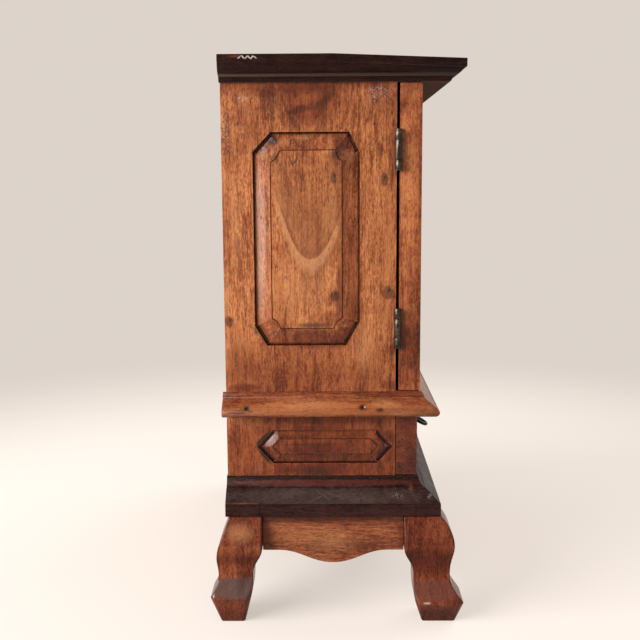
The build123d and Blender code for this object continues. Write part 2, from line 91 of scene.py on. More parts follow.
# ------------------------------------------------------------------ node graphs
class Graph:
    """Short ways to add shader nodes to a material or a world."""

    def __init__(self, tree):
        self.tree = tree
        tree.nodes.clear()

    def add(self, kind, inputs=None, **settings):
        node = self.tree.nodes.new("ShaderNode" + kind)
        for name, value in settings.items():
            setattr(node, name, value)
        for name, value in (inputs or {}).items():
            socket = node.inputs[name]
            if isinstance(value, bpy.types.NodeSocket):
                self.tree.links.new(value, socket)
            else:
                socket.default_value = value
        return node

    def math(self, operation, *values):
        inputs = dict(enumerate(values))
        return self.add("Math", inputs, operation=operation).outputs[0]

    def vector(self, operation, *values):
        inputs = dict(enumerate(values))
        node = self.add("VectorMath", inputs, operation=operation)
        scalar = operation in ("LENGTH", "DOT_PRODUCT", "DISTANCE")
        return node.outputs["Value" if scalar else "Vector"]

    def split(self, vector):
        return self.add("SeparateXYZ", {0: vector}).outputs

    def join(self, x, y, z):
        return self.add("CombineXYZ", {0: x, 1: y, 2: z}).outputs[0]

    def stretch(self, vector, x, y, z):
        return self.vector("MULTIPLY", vector, (x, y, z))

    def noise(self, vector, scale=1.0, detail=2.0, roughness=0.5, colour=False):
        inputs = {"Vector": vector, "Scale": scale, "Detail": detail, "Roughness": roughness}
        return self.add("TexNoise", inputs).outputs["Color" if colour else 0]

    def grain(self, vector, width, length, detail, roughness=0.5, colour=False):
        """Noise in spots width millimetres wide and length long, along the vector's z."""
        vector = self.stretch(vector, 1 / (width * MM), 1 / (width * MM), 1 / (length * MM))
        return self.noise(vector, 1.0, detail, roughness, colour)

    def gather(self, *layers, middle=0.5):
        """Weighed sum of noises, kept about the middle."""
        total = middle
        for layer, weight in layers:
            total = self.math("MULTIPLY_ADD", self.math("SUBTRACT", layer, 0.5), weight, total)
        return total

    def fade(self, value, low, high, to_low=0.0, to_high=1.0):
        """Smooth step from to_low at low to to_high at high."""
        inputs = {0: value, 1: low, 2: high, 3: to_low, 4: to_high}
        return self.add("MapRange", inputs, interpolation_type="SMOOTHSTEP").outputs[0]

    def mix(self, factor, a, b, blend="MIX"):
        node = self.add("Mix", data_type="RGBA", blend_type=blend)
        for index, value in ((0, factor), (6, a), (7, b)):
            if isinstance(value, bpy.types.NodeSocket):
                self.tree.links.new(value, node.inputs[index])
            else:
                node.inputs[index].default_value = value if index == 0 else (*value[:3], 1)
        return node.outputs[2]

    def ramp(self, value, stops):
        """stops are (place, colour) pairs."""
        node = self.add("ValToRGB", {0: value})
        elements = node.color_ramp.elements
        while len(elements) < len(stops):
            elements.new(1.0)
        for element, (place, colour) in zip(elements, stops):
            element.position = place
            element.color = (*colour, 1)
        return node.outputs[0]

    def bump(self, height, depth, strength=1.0):
        inputs = {"Strength": strength, "Distance": depth, "Height": height}
        return self.add("Bump", inputs).outputs[0]

    def hollow(self, reach, inside=False):
        """0 on open faces, towards 1 in hollow corners, or with inside on outer edges."""
        node = self.add("AmbientOcclusion", {"Distance": reach}, samples=8, inside=inside, only_local=True)
        return self.math("SUBTRACT", 1.0, node.outputs["AO"])


def new_material(name):
    material = bpy.data.materials.new(name)
    material.use_nodes = True
    return material, Graph(material.node_tree)


def finish_surface(graph, colour, roughness, normal, **shader):
    """Principled shader; what is the same all over goes on its own sockets."""
    node = graph.add("BsdfPrincipled", {"Base Color": colour, "Roughness": roughness, "Normal": normal})
    for name, value in shader.items():
        node.inputs[name.replace("_", " ")].default_value = value
    graph.add("OutputMaterial", {"Surface": node.outputs[0]})


# ------------------------------------------------------------------ wood
AXES = "xyz"
DARKER = (0.42, 0.29, 0.24)      # a wood's dark and light tones, against its middle one
LIGHTER = (1.44, 1.72, 1.85)
DEEPEST = (0.16, 0.11, 0.10)
REDDER = (0.50, 0.34, 0.28)      # what a shaded patch is multiplied by
SMOKE = (0.42, 0.34, 0.36)
PALER = (1.45, 1.58, 1.66)

BODY = (0.485, 0.152, 0.048)
BODY_RED = (0.325, 0.087, 0.027)
STAND = (0.225, 0.052, 0.018)
APRON = (0.330, 0.094, 0.032)
DARK = (0.030, 0.0085, 0.0065)
INNER = (0.340, 0.135, 0.060)

# near-black: holes, cut lines and marks, and painted shadow in deep cuts and corners
NEAR_BLACK = (0.016, 0.007, 0.005)
UMBER = (0.100, 0.032, 0.018)
PLUM = (0.135, 0.045, 0.034)
HONEY = (0.620, 0.270, 0.110)
OLIVE = (0.100, 0.056, 0.030)
# chalky pale residue, and painted glints where it is drawn in thin strokes
CHALK_AND_GLINT = (0.620, 0.520, 0.460)
ASH = (0.092, 0.062, 0.054)
PAINTED_SHEEN = (0.740, 0.430, 0.310)         # pale painted sheen on the carving's lit slope
FACET_SHEEN = (0.380, 0.240, 0.210)
BAND_RED = (0.085, 0.018, 0.011)
HEART_BROWN = (0.270, 0.092, 0.034)
RAW = (0.170, 0.115, 0.090)          # the top board's underside
WORN_DARK = (0.080, 0.034, 0.022)
CUT_STAIN = (0.72, 0.58, 0.56)       # what a carved face is multiplied by
GLINT_TONE = (1.45, 1.60, 1.75)
DIRT_AND_SHADE_TONE = (0.35, 0.3, 0.3)             # dirt and painted shade in hollows, against the wood's deepest tone

# Layers of grain: width and length in millimetres, detail, and roughness where it isn't 0.5
WANDER = (16, 60, 2)
FIBRE = (0.8, 16, 2)
FLECK = (1.0, 2.6, 3, 0.7)
MOTTLE = (3.0, 7.0, 2)
STREAK = (4.5, 130, 3, 0.6)
CLOUD = (24, 55, 3, 0.55)
PORE = (0.42, 3.4, 1)
PATCH = (26, 50, 3, 0.6)
GLINT = (0.7, 1.6, 2, 0.6)
SCRATCH = (0.7, 26, 3, 0.7)
TOOLING = (5, 12, 2)

# Where a layer starts to show and where it shows in full
PORE_CUT = (0.60, 0.70)
PATCH_CUT = (0.48, 0.68)
CARVED_CUT = (0.992, 0.970)          # how square to the board a face is
SLANTED_CUT = (0.01, 0.03)
GLINT_CUT = (0.56, 0.70)
SCRATCH_CUT = (0.57, 0.66)
DIRT_AND_SHADE_CUT = (0.12, 0.52)
WEAR_CUT = (0.30, 0.60)
WEAR_PATCH_CUT = (0.40, 0.60)
BELOW_CUT = (-0.80, -0.95)           # how far down a face looks
FINE_CUT = (0.52, 0.62)
LEFT_CUT = (0.010, -0.010)           # x in metres: marks stay on the left half

# How much of a layer is mixed in
PATCH_PART = 0.45
CARVED_PART = 0.85
SLANTED_PART = 0.6
PORE_PART = 0.70
GLINT_PART = 0.35
DIRT_AND_SHADE_PART = 0.92

BEND = 0.004                 # metres that the grain wanders
RING_SCALE = 110             # how close the growth rings are
TONE_REACH = 0.205           # from the middle tone to the dark and the light one
SCRATCH_TURNS = (0.35, -0.22)
DIRT_AND_SHADE_REACH = 2.6             # millimetres from a hollow corner
WEAR_REACH = 0.8             # millimetres from an outer edge
WOOD_RELIEF = 0.14           # depth of pores, fibres and tool marks in millimetres
WOBBLE = 1.6                 # waves in a mark's outline over its smaller half size
RING_AT = 0.85               # where a ring's line runs, as part of the mark's half size


def toned(colour, ratio):
    return tuple(c * r for c, r in zip(colour, ratio))


def stain(colour, strength, at, size, lean=0.0, edge=0.3, ragged=0.5, ring=None, fine=None, blend="MIX"):
    """A mark on a face seen from the side; at and size are (y, z) in millimetres.

    It is full within edge of its outline and gone at the outline; with ring it is a
    line along the outline, that wide, and with fine it breaks up into flecks that wide.
    """
    cos, sin = math.cos(math.radians(lean)), math.sin(math.radians(lean))
    wide, high = (half * MM for half in size)

    def apply(g, place, below):
        offset = g.vector("SUBTRACT", place, (0, at[0] * MM, at[1] * MM))
        u = g.vector("DOT_PRODUCT", offset, (0, cos / wide, sin / wide))
        v = g.vector("DOT_PRODUCT", offset, (0, -sin / high, cos / high))
        away = g.math("SQRT", g.math("MULTIPLY_ADD", u, u, g.math("MULTIPLY", v, v)))
        wobble = g.noise(place, WOBBLE / (min(size) * MM), 3, 0.6)
        away = g.math("MULTIPLY_ADD", g.math("SUBTRACT", wobble, 0.5), ragged, away)
        if ring is None:
            mask = g.fade(away, 1.0, edge)
        else:
            mask = g.fade(g.math("ABSOLUTE", g.math("SUBTRACT", away, RING_AT)), ring, ring * 0.3)
        if fine:
            flecks = g.fade(g.noise(place, 1 / (fine * MM), 2, 0.6), *FINE_CUT)
            mask = g.math("MULTIPLY", mask, flecks)
        return g.mix(g.math("MULTIPLY", mask, strength), below, colour, blend)

    return apply


def shade(strength, at, size, lean=0.0, edge=0.0, ragged=0.4, ratio=REDDER):
    """A broad darker, redder tone that lets the grain show: painted shade where the lists say so,
    elsewhere the wood's own tone.
    """
    return stain(ratio, strength, at, size, lean, edge, ragged, blend="MULTIPLY")


def lift(strength, at, size, lean=0.0, edge=0.0, ragged=0.4):
    """A broad paler tone that lets the grain show: painted light."""
    return stain(PALER, strength, at, size, lean, edge, ragged, blend="MULTIPLY")


def knot(at, size, core=UMBER):
    """A small knot: a dark edge that fades out, a harder core and a black eye."""
    wide = tuple(2.2 * s for s in size)
    eye = (at[0] - 0.25 * size[0], at[1] + 0.4 * size[1])
    marks = (
        shade(0.70, at, wide),
        stain(core, 0.85, at, size, edge=0.1, ragged=1.0),
        stain(NEAR_BLACK, 0.45, at, size, ragged=1.0, ring=0.4),
        stain(NEAR_BLACK, 0.85, eye, tuple(0.5 * s for s in size), edge=0.2, ragged=0.8),
    )

    def apply(g, place, below):
        for mark in marks:
            below = mark(g, place, below)
        return below

    return apply


def wood(name, mid, face, grain, shift=0.0, heart=(0.0, 85.0, 0.0), gloss=0.42, contrast=1.0,
         scratched=0.0, worn=0.45, worn_colour=None, shine=0.30, raw_below=None, figure=None, stains=()):
    """Open-pored wood: face is the axis square to the board and grain the one along it.

    shift gives each board its own stretch of grain.  heart is where the growth rings
    turn over, across the board, how sharply they do and how much they lean.
    """
    material, g = new_material(name)
    coordinates = g.add("TexCoord").outputs
    place = coordinates["Object"]
    parts = g.split(place)
    across = AXES.replace(face, "").replace(grain, "")
    board = g.join(*(parts[AXES.index(axis)] for axis in (face, across, grain)))
    board = g.vector("ADD", board, (shift, 0, 1.7 * shift))
    dark, light, deep = (toned(mid, ratio) for ratio in (DARKER, LIGHTER, DEEPEST))

    # The grain wanders a little on its way along the board
    wander = g.vector("SUBTRACT", g.grain(board, *WANDER, colour=True), (0.5, 0.5, 0.5))
    bent = g.vector("ADD", board, g.vector("MULTIPLY", wander, (BEND, BEND, 0)))

    fibre = g.grain(bent, *FIBRE)
    fleck = g.grain(bent, *FLECK)
    mottle = g.grain(bent, *MOTTLE)
    streak = g.grain(bent, *STREAK)
    cloud = g.grain(board, *CLOUD)
    pore = g.fade(g.grain(bent, *PORE), *PORE_CUT)

    bent_parts = g.split(bent)
    offset = g.math("SUBTRACT", bent_parts[1], heart[0])
    bow = g.math("MULTIPLY", g.math("MULTIPLY", offset, offset), heart[1])
    rise = g.math("SUBTRACT", bent_parts[2], g.math("MULTIPLY_ADD", offset, heart[2], bow))
    rings = g.noise(g.join(shift, 0, g.math("MULTIPLY", rise, RING_SCALE)), 1, 2, 0.6)

    tone = g.gather(
        (fleck, 0.85), (fibre, 0.55), (mottle, 0.40), (streak, 0.60), (cloud, 0.65), (rings, 0.40),
    )
    reach = TONE_REACH / contrast
    tone = g.add("MapRange", {0: tone, 1: 0.5 - reach, 2: 0.5 + reach}).outputs[0]
    colour = g.ramp(tone, [(0.0, dark), (0.5, mid), (1.0, light)])
    patches = g.fade(g.grain(board, *PATCH), *PATCH_CUT)
    colour = g.mix(g.math("MULTIPLY", patches, PATCH_PART), colour, REDDER, "MULTIPLY")
    if figure:
        colour = figure(g, rise, parts, colour)

    # Carved and cut faces take more stain and are smoother
    normal = g.split(coordinates["Normal"])
    facing = g.math("ABSOLUTE", normal[AXES.index(face)])
    carved = g.fade(facing, *CARVED_CUT)
    colour = g.mix(g.math("MULTIPLY", carved, CARVED_PART), colour, CUT_STAIN, "MULTIPLY")
    # Faces slanted two ways, the carving's corner facets, come out darker and redder
    slanted = g.math("MULTIPLY", normal[AXES.index(across)], normal[AXES.index(grain)])
    slanted = g.math("ABSOLUTE", slanted)
    colour = g.mix(g.fade(slanted, *SLANTED_CUT, 0.0, SLANTED_PART), colour, REDDER, "MULTIPLY")
    plain = colour
    # The listed marks: the wood's own stains, with painted light and shade among them
    for mark in stains:
        colour = mark(g, place, colour)
    if stains:
        on_left = g.fade(parts[0], *LEFT_CUT)
        colour = g.mix(on_left, plain, colour)
    colour = g.mix(g.math("MULTIPLY", pore, PORE_PART), colour, deep)
    glint = g.fade(g.grain(bent, *GLINT), *GLINT_CUT)
    colour = g.mix(g.math("MULTIPLY", glint, GLINT_PART), colour, GLINT_TONE, "MULTIPLY")

    if scratched:
        for turn in SCRATCH_TURNS:
            crossed = g.add("Mapping", {"Vector": board, "Rotation": (turn, 0, 0)}).outputs[0]
            line = g.fade(g.grain(crossed, *SCRATCH), *SCRATCH_CUT)
            colour = g.mix(g.math("MULTIPLY", line, scratched), colour, ASH)

    # Darker in hollow corners: dirt, and painted shade where the light reaches less
    dirt_and_shade = g.fade(g.hollow(DIRT_AND_SHADE_REACH * MM), *DIRT_AND_SHADE_CUT)
    colour = g.mix(g.math("MULTIPLY", dirt_and_shade, DIRT_AND_SHADE_PART), colour, toned(deep, DIRT_AND_SHADE_TONE))
    wear = g.fade(g.hollow(WEAR_REACH * MM, inside=True), *WEAR_CUT)
    patchy = g.fade(g.noise(place, 240, 3, 0.6), *WEAR_PATCH_CUT)
    wear = g.math("MULTIPLY", wear, patchy)
    colour = g.mix(g.math("MULTIPLY", wear, worn), colour, worn_colour or light)

    roughness = g.gather((g.noise(place, 110, 3, 0.6), 0.45), (fleck, 0.35), middle=gloss)
    roughness = g.math("MULTIPLY_ADD", pore, 0.15, roughness)
    roughness = g.math("MULTIPLY_ADD", carved, -0.16, roughness)
    if raw_below:
        below = g.fade(normal[2], *BELOW_CUT)
        colour = g.mix(below, colour, raw_below)
        roughness = g.math("MULTIPLY_ADD", below, 0.6, roughness)
    tooled = g.math("MULTIPLY", carved, g.grain(board, *TOOLING))
    height = g.gather((fibre, 0.30), (fleck, 0.45), middle=0.0)
    height = g.math("SUBTRACT", height, g.math("MULTIPLY", pore, 0.8))
    height = g.math("MULTIPLY_ADD", tooled, 4.0, height)
    relief = g.bump(height, WOOD_RELIEF * MM, 0.7)
    finish_surface(g, colour, roughness, relief, Specular_IOR_Level=shine)
    return material


# ------------------------------------------------------------------ metal
STEEL_TONES = ((0.30, (0.022, 0.014, 0.010)), (0.52, (0.064, 0.050, 0.040)), (0.75, (0.160, 0.135, 0.115)))
IRON_TONES = ((0.3, (0.006, 0.006, 0.007)), (0.7, (0.022, 0.020, 0.020)))
GRIME_AND_SHADE = (0.012, 0.008, 0.006)
GRIME_AND_SHADE_REACH = 1.2            # millimetres from a hollow corner
BRUSHED_RELIEF = 0.03        # depths in millimetres
PIT_RELIEF = 0.08
SCREW_WORN = 2.6             # how much paler the screws are than the hinges


def steel(name, worn=1.0):
    """Dull steel; worn makes it paler."""
    material, g = new_material(name)
    spot = g.add("TexCoord").outputs["Object"]
    blotch = g.noise(spot, 420, 4, 0.6)
    brushed = g.noise(g.stretch(spot, 1, 1, 0.08), 2600, 2, 0.5)
    colour = g.ramp(blotch, [(at, toned(tone, (worn, worn, worn))) for at, tone in STEEL_TONES])
    # Darker in hollows: grime, and painted shade for the dark edges of the hinges
    grime_and_shade = g.fade(g.hollow(GRIME_AND_SHADE_REACH * MM), 0.15, 0.6)
    colour = g.mix(grime_and_shade, colour, GRIME_AND_SHADE)
    roughness = g.math("MULTIPLY_ADD", blotch, 0.25, 0.20)
    finish_surface(g, colour, roughness, g.bump(brushed, BRUSHED_RELIEF * MM, 0.5), Metallic=0.9)
    return material


def iron(name):
    """Black, pitted iron."""
    material, g = new_material(name)
    spot = g.add("TexCoord").outputs["Object"]
    pits = g.noise(spot, 1500, 4, 0.65)
    colour = g.ramp(pits, IRON_TONES)
    roughness = g.math("MULTIPLY_ADD", pits, 0.3, 0.30)
    finish_surface(g, colour, roughness, g.bump(pits, PIT_RELIEF * MM, 0.6), Metallic=0.6)
    return material


# ------------------------------------------------------------------ marks seen on the left side
ARCH_TIP = 231.0             # height in millimetres of the arched figure's tip
ARCH_MIDDLE = 0.016          # y in metres
ARCH_WIDTHS = (0.026, 0.016)     # metres from the middle: where it is gone and where it is full
ARCH_PART = 0.50
ARCH_RING_PART = 0.75


def arch(g, rise, parts, below):
    """The browner heart of the figure, with a pale ring round it."""
    near = g.fade(g.math("ABSOLUTE", g.math("SUBTRACT", parts[1], ARCH_MIDDLE)), *ARCH_WIDTHS)
    above = g.fade(rise, (ARCH_TIP + 60) * MM, (ARCH_TIP + 12) * MM)
    inner = g.fade(rise, ARCH_TIP * MM, (ARCH_TIP + 1.2) * MM)
    inner = g.math("MULTIPLY", g.math("MULTIPLY", inner, above), near)
    below = g.mix(g.math("MULTIPLY", inner, ARCH_PART), below, HEART_BROWN)
    pale = g.math(
        "MULTIPLY",
        g.fade(rise, (ARCH_TIP - 12) * MM, (ARCH_TIP - 3) * MM),
        g.fade(rise, (ARCH_TIP + 0.8) * MM, ARCH_TIP * MM),
    )
    pale = g.math("MULTIPLY", pale, near)
    return g.mix(g.math("MULTIPLY", pale, ARCH_RING_PART), below, HONEY)


LEFT_SIDE = (
    # Broad tones, with a painted shadow under the waist: dark towards the stand, the edges and the top
    shade(0.90, (16, 152), (85, 44)),
    shade(0.75, (58, 160), (22, 26)),
    shade(1.00, (16, 103), (110, 31), edge=0.6),
    shade(0.80, (0, 106), (50, 20), ragged=0.8),
    shade(1.00, (8, 127.5), (60, 5), edge=0.3),
    shade(0.80, (-25, 127), (8, 5), edge=0.2),
    shade(0.90, (18, 107), (24, 8), edge=0.1, ragged=0.7),
    stain(NEAR_BLACK, 0.60, (11, 93), (15, 5), edge=0.2, ragged=0.8),
    shade(1.00, (10, 94), (26, 7), edge=0.4),
    shade(0.50, (65, 115), (5, 18)),
    shade(0.60, (18, 111), (34, 1.3), edge=0.3, ragged=0.8),
    shade(0.60, (10, 119.5), (32, 1.2), edge=0.3, ragged=0.8),
    # Above the waist, and the bottom of the tall panel, with painted shade on its downward bevel and in
    # its crease
    shade(1.00, (57, 148.5), (16, 4), edge=0.3),
    shade(0.90, (-34, 150), (8, 5), edge=0.3),
    shade(0.60, (64, 172), (6, 22)),
    shade(0.85, (14, 180), (26, 8), edge=0.5),
    stain(UMBER, 0.85, (14, 189), (17, 2.4), edge=0.2),
    stain(NEAR_BLACK, 0.50, (46.5, 180), (6, 1.6), lean=55, edge=0.2),
    stain(NEAR_BLACK, 0.70, (50, 186), (3.2, 4.6), edge=0.2),
    shade(0.90, (39.5, 191), (4, 3.4), edge=0.2),
    shade(0.90, (-2, 178), (6, 6), edge=0.2),
    # Along the right of the panel, with painted shade on the bevel turned away from the light
    shade(0.60, (-4, 260), (4.5, 34), edge=0.2),
    shade(1.00, (-3, 212), (4, 30), edge=0.3),
    stain(UMBER, 0.45, (-2, 208), (3, 24), edge=0.1),
    shade(0.80, (4, 194), (12, 7), edge=0.1),
    shade(0.80, (-35.5, 298), (4, 15), edge=0.2),
    shade(0.80, (-9.5, 240), (3, 16), edge=0.2),
    shade(0.45, (-18.5, 268), (5, 26)),
    shade(0.70, (-35.5, 283), (4, 16), edge=0.2),
    shade(0.90, (-35.5, 173), (4, 6), edge=0.2),
    shade(0.60, (-28, 198), (7, 12)),
    shade(0.50, (-32, 240), (12, 60)),
    shade(0.35, (20, 270), (24, 26)),
    stain(HONEY, 0.40, (-18, 174), (9, 24), edge=0.0),
    stain(HONEY, 0.30, (20, 215), (30, 30), edge=0.0),
    stain(HONEY, 0.25, (62, 250), (6, 50), edge=0.0),
    lift(0.35, (58, 250), (12, 46), edge=0.2),
    shade(0.70, (72, 245), (4, 90), ragged=0.8),
    shade(0.85, (66, 301), (7, 24), ragged=1.4),
    # Painted shadow under the overhanging top
    shade(0.35, (50, 322), (20, 22), ragged=0.9),
    shade(0.80, (-30, 330), (20, 24), ragged=0.9),
    shade(1.00, (15, 329), (30, 21), edge=0.4),
    shade(0.90, (36, 338), (60, 9), edge=0.4),
    shade(0.45, (2, 290), (26, 10), ragged=0.9),
    # Smoky curl over the panel
    shade(0.60, (38, 325), (8, 17), lean=8, ratio=SMOKE),
    shade(0.95, (22, 323), (12, 3.6), lean=-12, edge=0.2, ragged=0.7, ratio=SMOKE),
    shade(0.95, (8, 327), (11, 4.0), lean=-40, edge=0.2, ragged=0.7, ratio=SMOKE),
    shade(0.90, (26, 315), (5, 9), edge=0.2, ragged=0.7, ratio=SMOKE),
    shade(0.80, (7, 316), (5.5, 16), edge=0.1, ragged=0.7, ratio=SMOKE),
    shade(0.70, (-5, 297), (6, 8), edge=0.2, ragged=0.8, ratio=SMOKE),
    # Painted shadow under the overhanging top
    shade(0.80, (41, 331), (9, 9), ratio=SMOKE),
    shade(0.80, (6, 332), (8, 11), ratio=SMOKE),
    shade(0.90, (-20, 339), (26, 6), edge=0.2),
    stain(NEAR_BLACK, 0.75, (-28, 331), (11, 9), edge=0.3, fine=1.3),
    stain(CHALK_AND_GLINT, 0.45, (-27, 332), (10, 8), edge=0.2, fine=0.9),
    stain(NEAR_BLACK, 0.55, (-21.6, 302.6), (9.0, 0.4), lean=-47, edge=0.4, ragged=0.6),
    # Round the panel's corners: painted shadow in the deep corners and painted light on facets turned to
    # the light
    stain(NEAR_BLACK, 0.85, (38.5, 304.5), (5.5, 4.6), edge=0.3, ragged=0.4),
    stain(NEAR_BLACK, 0.55, (37, 294), (3.0, 6), edge=0.2, ragged=0.6),
    stain(NEAR_BLACK, 0.60, (49, 297.8), (5.5, 2.6), lean=-40, edge=0.2, ragged=0.6),
    stain(HONEY, 0.45, (44.5, 295.5), (5, 4), edge=0.3),
    stain(HONEY, 0.35, (33, 303), (3, 4), edge=0.2),
    stain(HONEY, 0.35, (20, 306), (9, 3), edge=0.1),
    stain(NEAR_BLACK, 0.75, (0, 295.5), (5.2, 6.0), edge=0.2, ragged=0.6),
    shade(0.90, (-3, 303), (6, 8), edge=0.2),
    stain(HONEY, 0.25, (-9, 294), (4, 6), edge=0.2),
    # Painted sheen on the slope at the left of the panel
    lift(0.80, (47.2, 254), (5.4, 52), edge=0.5),
    stain(PAINTED_SHEEN, 0.45, (47.2, 250), (5.2, 50), edge=0.4, ragged=0.5),
    stain(PAINTED_SHEEN, 0.30, (47, 212), (5.0, 26), edge=0.4, ragged=0.4),
    shade(0.60, (-13, 200), (8, 16), edge=0.2),
    shade(0.70, (36, 187), (10, 8), edge=0.1),
    shade(0.90, (31, 94), (12, 8), edge=0.1, ragged=1.0),
    shade(0.80, (12, 122), (24, 2.4), edge=0.2),
    shade(0.80, (6, 109), (5, 10), edge=0.2),
    shade(0.80, (-29, 124), (5, 5), edge=0.2),
    shade(0.70, (-34, 118), (6, 4), edge=0.2),
    # Painted shadow in the deep cut and painted sheen on the facet at the low panel's tip
    stain(NEAR_BLACK, 0.85, (45.5, 102.4), (7.5, 1.8), lean=48, edge=0.3),
    stain(NEAR_BLACK, 0.80, (50.2, 111), (2.0, 4.5), edge=0.3),
    stain(NEAR_BLACK, 0.90, (47, 115.2), (8.0, 1.7), lean=-48, edge=0.5),
    stain(NEAR_BLACK, 0.85, (47, 104.6), (8.0, 1.4), lean=48, edge=0.4),
    stain(FACET_SHEEN, 0.85, (41.5, 114.2), (6.6, 3.2), lean=-48, edge=0.6),
    stain(CHALK_AND_GLINT, 0.60, (42, 114.6), (4.0, 0.8), lean=-48, edge=0.3, ragged=1.0),
    stain(NEAR_BLACK, 0.80, (39.5, 107.2), (5.0, 0.8), lean=50, edge=0.3),
    # Roughly cut other tip
    stain(NEAR_BLACK, 0.80, (-25.6, 112.0), (4.2, 0.8), lean=45, edge=0.3, ragged=0.8),
    stain(NEAR_BLACK, 0.80, (-31.5, 112.0), (4.2, 0.8), lean=-40, edge=0.3, ragged=0.8),
    stain(NEAR_BLACK, 0.80, (-27.6, 105.8), (4.4, 0.9), lean=-75, edge=0.3, ragged=0.8),
    stain(NEAR_BLACK, 0.60, (-33.5, 100.8), (3.6, 0.6), lean=-30, edge=0.3, ragged=0.8),
    stain(HONEY, 0.35, (-33, 111), (3, 3), edge=0.2),
    # Grain eye, knots, plugs and worm holes
    stain(UMBER, 0.80, (26, 297.5), (3.0, 8.4), ragged=0.3, ring=0.18),
    knot((1.1, 281.5), (1.8, 3.3), OLIVE),
    knot((-30.4, 280.3), (2.1, 3.5)),
    shade(0.95, (-28, 298.6), (2.6, 6), edge=0.2, ratio=SMOKE),
    knot((67.4, 191.5), (2.4, 3.0)),
    knot((0.8, 207.8), (2.6, 3.2)),
    shade(0.70, (3, 204), (7, 6), ragged=1.0),
    knot((-32.8, 209.7), (3.4, 3.8)),
    stain(NEAR_BLACK, 0.90, (17, 332.7), (0.8, 0.8), edge=0.5),
    stain(NEAR_BLACK, 0.90, (-24.2, 314.2), (0.6, 1.3), edge=0.5),
    stain(NEAR_BLACK, 0.90, (33.2, 164.3), (0.6, 1.8), edge=0.5),
    stain(CHALK_AND_GLINT, 0.50, (57, 329.5), (5, 5), edge=0.1, fine=0.9),
    stain(NEAR_BLACK, 0.85, (67.5, 308), (5.5, 19), edge=0.3, fine=1.5),
    stain(CHALK_AND_GLINT, 0.30, (67.5, 310), (5, 18), edge=0.2, fine=0.9),
)
LEFT_DOOR = (
    shade(0.85, (-46, 172), (30, 40)),
    shade(0.80, (-48, 163), (3.4, 5), ragged=1.0),
    shade(0.80, (-44.8, 185.6), (3.8, 4.5), ragged=1.0),
    # Painted light: the edge is lifted, most where the hinges' shadows fall
    lift(0.55, (-44, 262), (7, 84), edge=0.3),
    lift(0.60, (-43.5, 299), (5, 15), edge=0.2),
    lift(0.60, (-43.5, 187), (5, 13), edge=0.2),
    shade(0.60, (-53, 245), (2.5, 95), edge=0.3, ragged=0.6),
)
DRAWER_END = (
    shade(0.80, (-45, 110), (12, 30), edge=0.5),
    shade(1.00, (-50, 98), (9, 18), edge=0.2),
    shade(0.80, (-40, 92), (8, 8), edge=0.2),
)
LEFT_WAIST = (
    stain(BODY, 0.50, (5, 135), (84, 6.5), edge=0.7),
    stain(HONEY, 0.45, (20, 139), (40, 4), edge=0.0, ragged=0.8),
    stain(HONEY, 0.40, (14, 132.6), (18, 1.6), edge=0.0, ragged=0.8),
    stain(HONEY, 0.45, (-40, 133.5), (14, 3), edge=0.0, ragged=0.8),
    stain(HONEY, 0.35, (-34, 139), (16, 3), edge=0.0, ragged=0.8),
    stain(UMBER, 0.65, (62, 136.0), (16, 1.2), edge=0.2, ragged=1.4),
    stain(NEAR_BLACK, 0.75, (60, 135.4), (13, 3.0), edge=0.2, fine=1.0),
    stain(NEAR_BLACK, 0.65, (-17, 137.8), (5, 2.2), edge=0.2, fine=1.0),
    stain(NEAR_BLACK, 0.70, (62, 134.9), (9, 0.5), edge=0.5),
    knot((57, 137.2), (2.0, 1.2), NEAR_BLACK),
    knot((-16.4, 137.8), (2.2, 1.3), NEAR_BLACK),
    # Painted glint on the nail's head
    stain(CHALK_AND_GLINT, 0.80, (-18.0, 137.9), (0.8, 0.7), edge=0.4),
    knot((-27.5, 136.4), (2.0, 1.0), NEAR_BLACK),
    shade(0.50, (64, 143), (10, 5), edge=0.2),
    shade(1.00, (59, 131.6), (15, 2.6), edge=0.4),
    stain(HONEY, 0.25, (-30, 140), (10, 4), edge=0.0),
)
LEFT_TOP = (
    stain(APRON, 0.35, (60, 353.4), (6, 1.2), edge=0.2, ragged=2.0),
    # Painted glints along the top's upper edge
    *(
        stain(CHALK_AND_GLINT, 1.00, (y, z), (1.7, 0.5), lean=lean, edge=0.5, ragged=0.8)
        for y, z, lean in (
            (57.4, 352.9, -38), (55.2, 353.1, 50), (53.2, 352.8, -46), (51.4, 352.9, 40),
            (49.7, 352.8, -58), (48.0, 352.9, 30),
        )
    ),
    stain(NEAR_BLACK, 0.80, (67.0, 348.0), (1.0, 1.2), edge=0.4, ragged=1.0),
    # Painted shade: a dark line along the top's moulding
    stain(NEAR_BLACK, 0.90, (4, 343.1), (90, 0.55), edge=0.6, ragged=0.1),
    shade(0.80, (4, 341.9), (90, 0.40), edge=0.6, ragged=0.1),
)
